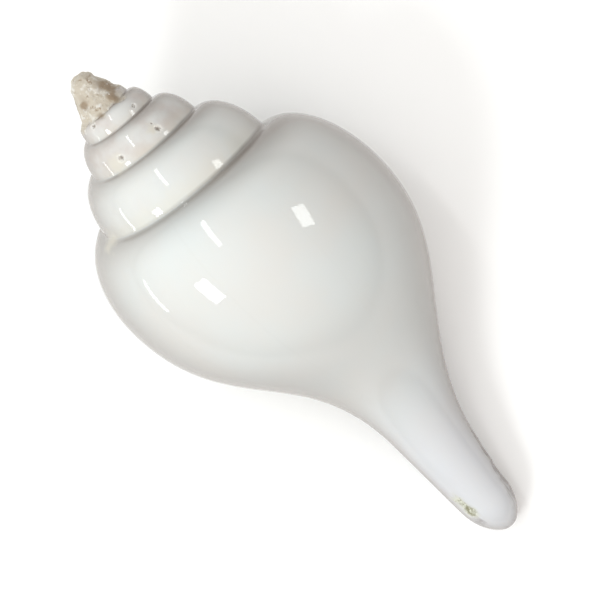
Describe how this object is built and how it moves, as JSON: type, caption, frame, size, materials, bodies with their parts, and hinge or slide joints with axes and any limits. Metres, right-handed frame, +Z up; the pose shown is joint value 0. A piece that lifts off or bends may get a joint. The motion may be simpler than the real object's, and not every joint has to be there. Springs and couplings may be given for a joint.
{
  "type": "left-handed conch shell",
  "caption": "Polished white left-handed conch shell with a stepped spire, a rounded body and a long open canal, lying mouth down as an ornament.",
  "frame": {"origin": "middle of the box around the shell, on the surface it lies on", "axes": "+Z up from that surface, +X from the spire to the tip of the canal, +Y to the side where the outer lip is"},
  "size_m": [0.1262, 0.0596, 0.0513],
  "materials": {
    "shell": "polished white shell with a glassy gloss; tan and worn rough at the apex"
  },
  "bodies": {
    "root": {"shell": "shell"}
  },
  "joints": []
}
